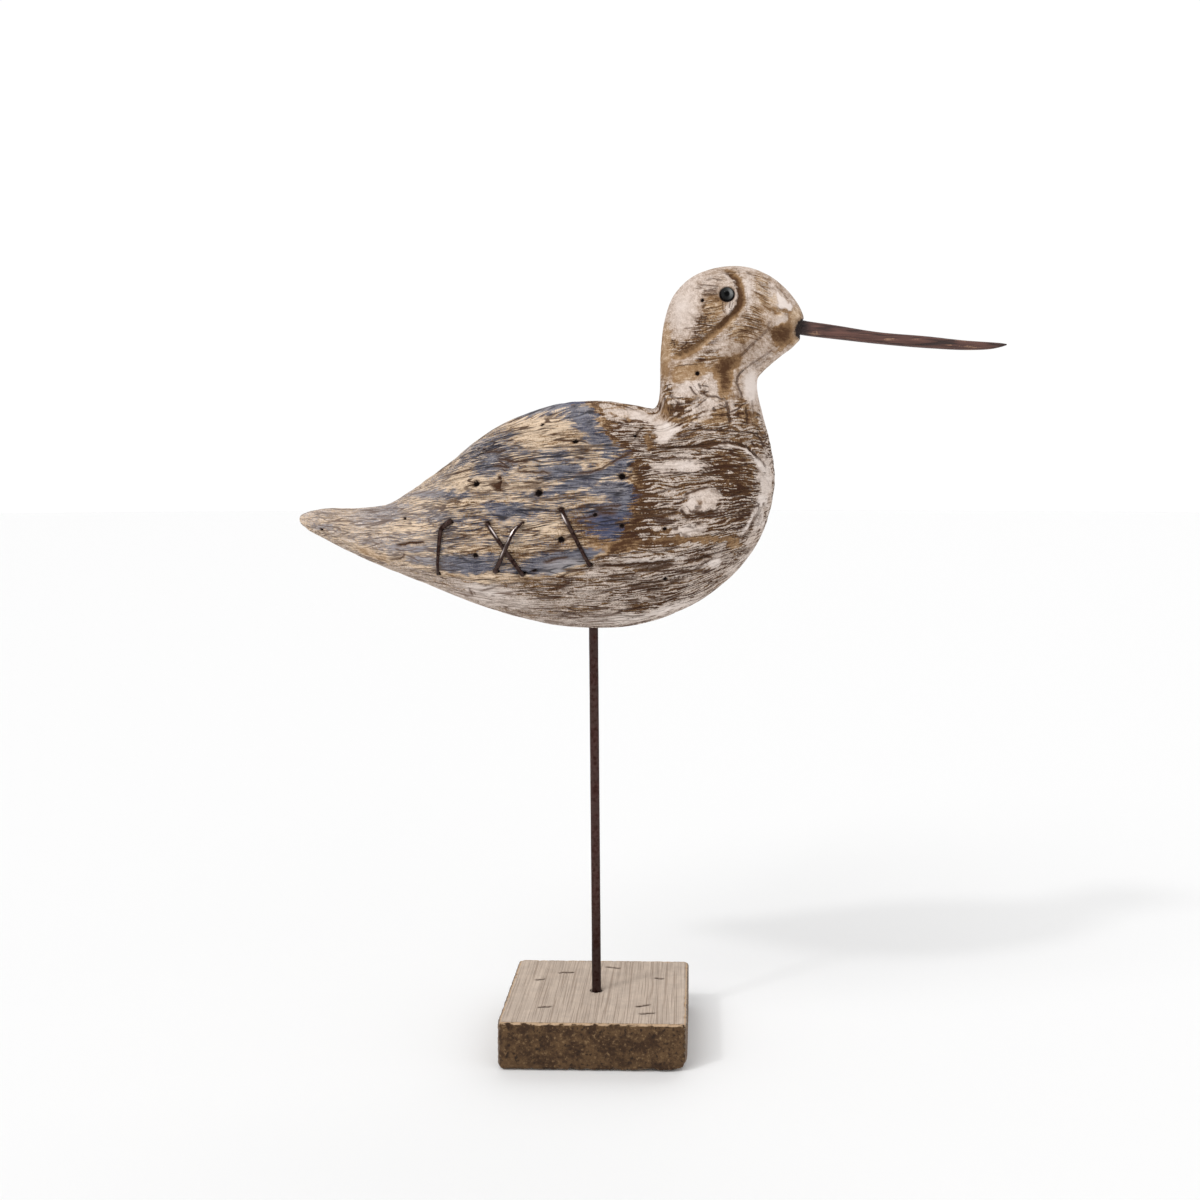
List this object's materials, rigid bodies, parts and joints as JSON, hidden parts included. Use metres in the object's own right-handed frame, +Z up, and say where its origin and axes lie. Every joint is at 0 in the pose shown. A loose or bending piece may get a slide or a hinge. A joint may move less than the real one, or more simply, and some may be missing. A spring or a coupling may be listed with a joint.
{
  "type": "wooden shorebird figurine on a stand",
  "caption": "Carved, weathered wooden shorebird with a long bill, held up by a thin metal rod in a square wooden base.",
  "frame": {"origin": "centre of the base's flat underside, on the surface that the figurine stands on", "axes": "+Z up along the rod, +X the way the bird faces, -Y the side with the wire stitches"},
  "size_m": [0.1945, 0.0512, 0.2159],
  "materials": {
    "painted_wood": "weathered softwood, matt, with deep grain, blue-grey paint on the wings and worn white wash on breast and belly",
    "whitewashed_wood": "matt chalky white wash worn through to brown wood, carved and chipped",
    "stained_wood": "dark brown stain, satin, scuffed",
    "sawn_wood": "greyed planed top, dark rough sawn sides, worn pale edges",
    "glass_bead": "polished black bead",
    "rod_steel": "dark brown satin lacquer",
    "wire_steel": "dark oxidised wire, half bright where rubbed"
  },
  "bodies": {
    "root": {"body": "painted_wood", "head_and_neck": "whitewashed_wood", "bill": "stained_wood", "eye_right": "glass_bead", "eye_left": "glass_bead", "wire_stitch_rear": "wire_steel", "wire_stitch_cross_under": "wire_steel", "wire_stitch_cross_over": "wire_steel", "wire_stitch_front": "wire_steel", "rod": "rod_steel", "base": "sawn_wood"}
  },
  "joints": []
}
